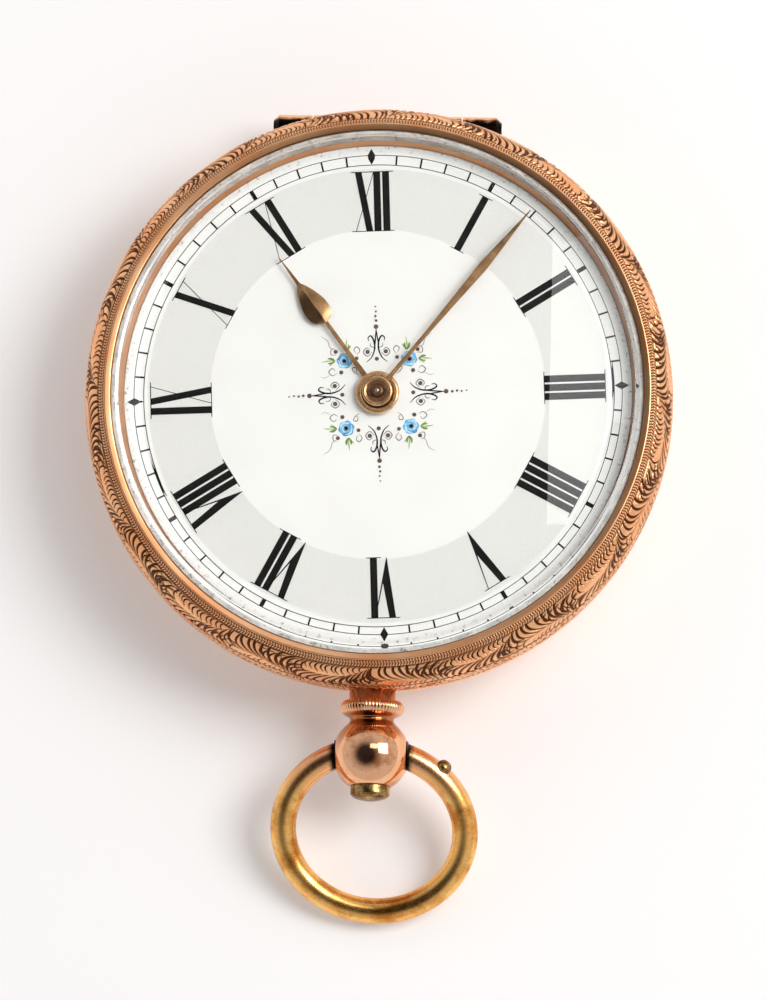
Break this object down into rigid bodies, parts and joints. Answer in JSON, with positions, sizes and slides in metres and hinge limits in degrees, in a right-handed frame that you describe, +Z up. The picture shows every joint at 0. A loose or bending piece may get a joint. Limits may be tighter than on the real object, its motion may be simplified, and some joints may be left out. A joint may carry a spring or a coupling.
{
  "type": "pocket watch",
  "caption": "Open face key-wound pocket watch with engraved round case, bevelled crystal, enamel dial, hinged back cover and cuvette, bar movement, ball pendant and swinging bow.",
  "frame": {"origin": "centre of the flat on the back cover, where the watch rests on its back", "axes": "+Z up out of the dial, +Y toward the case joint at 12 o'clock, -Y toward the pendant and bow, +X toward 3 o'clock"},
  "size_m": [0.04, 0.0559, 0.01],
  "materials": {
    "rose_gold": "polished rose gold, engraved on the bezel and band",
    "gilt_brass": "polished yellow gilt brass with brown tarnish",
    "gilt_movement": "frosted gilt",
    "train_brass": "polished brass",
    "steel": "polished steel",
    "blued_steel": "blued steel",
    "enamel": "white vitreous enamel on copper, printed numerals and ornament",
    "crystal": "clear polished mineral glass",
    "ruby": "polished ruby"
  },
  "bodies": {
    "case": {"case_middle": "rose_gold", "joint_pin": "steel", "bezel": "rose_gold", "crystal": "crystal", "pendant": "rose_gold", "lock_spring_screw": "blued_steel", "dial": "enamel", "dial_feet": "train_brass", "minute_post": "steel", "mainplate": "gilt_movement", "barrel_bridge": "gilt_movement", "centre_bridge": "gilt_movement", "third_bridge": "gilt_movement", "fourth_bridge": "gilt_movement", "escape_cock": "gilt_movement", "balance_cock": "gilt_movement", "cock_cap": "steel", "jewels": "ruby", "bridge_screws": "blued_steel", "case_screws": "blued_steel", "click_screw": "blued_steel", "click_spring": "steel", "hairspring": "blued_steel"},
    "cuvette": {"cuvette": "rose_gold"},
    "back_cover": {"back_cover": "rose_gold"},
    "push_button": {"push_button": "gilt_brass"},
    "lock_spring": {"lock_spring": "steel"},
    "bow": {"bow": "gilt_brass", "bow_stud": "gilt_brass"},
    "centre_wheel": {"centre_wheel": "train_brass", "setting_arbor": "steel", "cannon_pinion": "steel", "minute_hand": "gilt_brass"},
    "hour_wheel": {"hour_wheel": "train_brass", "hour_hand": "gilt_brass"},
    "minute_wheel": {"minute_wheel": "train_brass"},
    "barrel": {"barrel": "train_brass", "barrel_lid": "train_brass", "mainspring": "steel"},
    "third_wheel": {"third_wheel": "train_brass"},
    "fourth_wheel": {"fourth_wheel": "train_brass"},
    "escape_wheel": {"escape_wheel": "steel"},
    "balance": {"balance": "train_brass"},
    "winding_arbor": {"winding_arbor": "steel", "ratchet_wheel": "steel"},
    "click": {"click": "steel"},
    "regulator": {"regulator": "steel"}
  },
  "joints": [
    {"name": "cuvette_hinge", "type": "hinge", "parent": "case", "child": "cuvette", "pos_m": [0, 0.01975, 0.0034], "axis": [1, 0, 0], "range_deg": [0, 55]},
    {"name": "back_cover_hinge", "type": "hinge", "parent": "cuvette", "child": "back_cover", "pos_m": [0, 0.01975, 0.0034], "axis": [1, 0, 0], "range_deg": [0, 95]},
    {"name": "bow_swing", "type": "hinge", "parent": "case", "child": "bow", "pos_m": [0, -0.02439, 0.0049], "axis": [1, 0, 0], "range_deg": [-122, 78]},
    {"name": "push", "type": "slide", "parent": "case", "child": "push_button", "axis": [0, 1, 0], "range_m": [0, 0.0006], "stiffness_N_per_m": 500},
    {"name": "lock_spring_flex", "type": "hinge", "parent": "case", "child": "lock_spring", "pos_m": [0.0084, -0.01294, 0.0032], "axis": [0, 0, 1], "range_deg": [-4.19, 0]},
    {"name": "minute_hand", "type": "hinge", "parent": "case", "child": "centre_wheel", "pos_m": [0, 0, 0.0054], "axis": [0, 0, -1], "continuous": true},
    {"name": "hour_hand", "type": "hinge", "parent": "case", "child": "hour_wheel", "pos_m": [0, 0, 0.00668], "axis": [0, 0, -1], "continuous": true},
    {"name": "minute_wheel_turn", "type": "hinge", "parent": "case", "child": "minute_wheel", "pos_m": [0.0013, 0.00225, 0.00628], "axis": [0, 0, -1], "continuous": true},
    {"name": "barrel_turn", "type": "hinge", "parent": "case", "child": "barrel", "pos_m": [-0.00544, 0.00544, 0.00305], "axis": [0, 0, -1], "continuous": true},
    {"name": "third_wheel_turn", "type": "hinge", "parent": "case", "child": "third_wheel", "pos_m": [0.00585, -0.00103, 0.0035], "axis": [0, 0, -1], "continuous": true},
    {"name": "fourth_wheel_turn", "type": "hinge", "parent": "case", "child": "fourth_wheel", "pos_m": [0.00502, -0.00573, 0.00446], "axis": [0, 0, -1], "continuous": true},
    {"name": "escape_wheel_turn", "type": "hinge", "parent": "case", "child": "escape_wheel", "pos_m": [0.00113, -0.00641, 0.00399], "axis": [0, 0, -1], "continuous": true},
    {"name": "balance_swing", "type": "hinge", "parent": "case", "child": "balance", "pos_m": [-0.00145, -0.00691, 0.003], "axis": [0, 0, 1], "range_deg": [-135, 135], "stiffness_Nm_per_rad": 0.0000005, "deforming": ["hairspring"]},
    {"name": "winding", "type": "hinge", "parent": "case", "child": "winding_arbor", "pos_m": [-0.00544, 0.00544, 0.00188], "axis": [0, 0, -1], "continuous": true, "deforming": ["mainspring"]},
    {"name": "click_lift", "type": "hinge", "parent": "case", "child": "click", "pos_m": [-0.00307, 0.00815, 0.00188], "axis": [0, 0, 1], "range_deg": [0, 12], "stiffness_Nm_per_rad": 0.00001},
    {"name": "regulator_turn", "type": "hinge", "parent": "case", "child": "regulator", "pos_m": [-0.00145, -0.00691, 0.0019], "axis": [0, 0, 1], "range_deg": [-20, 20]}
  ],
  "couplings": [
    {"joint": "barrel_turn", "follows": "minute_hand", "ratio": -0.16667},
    {"joint": "third_wheel_turn", "follows": "minute_hand", "ratio": -8},
    {"joint": "fourth_wheel_turn", "follows": "minute_hand", "ratio": 60},
    {"joint": "escape_wheel_turn", "follows": "minute_hand", "ratio": -600},
    {"joint": "minute_wheel_turn", "follows": "minute_hand", "ratio": -0.33333},
    {"joint": "hour_hand", "follows": "minute_hand", "ratio": 0.083333},
    {"joint": "lock_spring_flex", "follows": "push", "rad_per_m": -119.03}
  ]
}
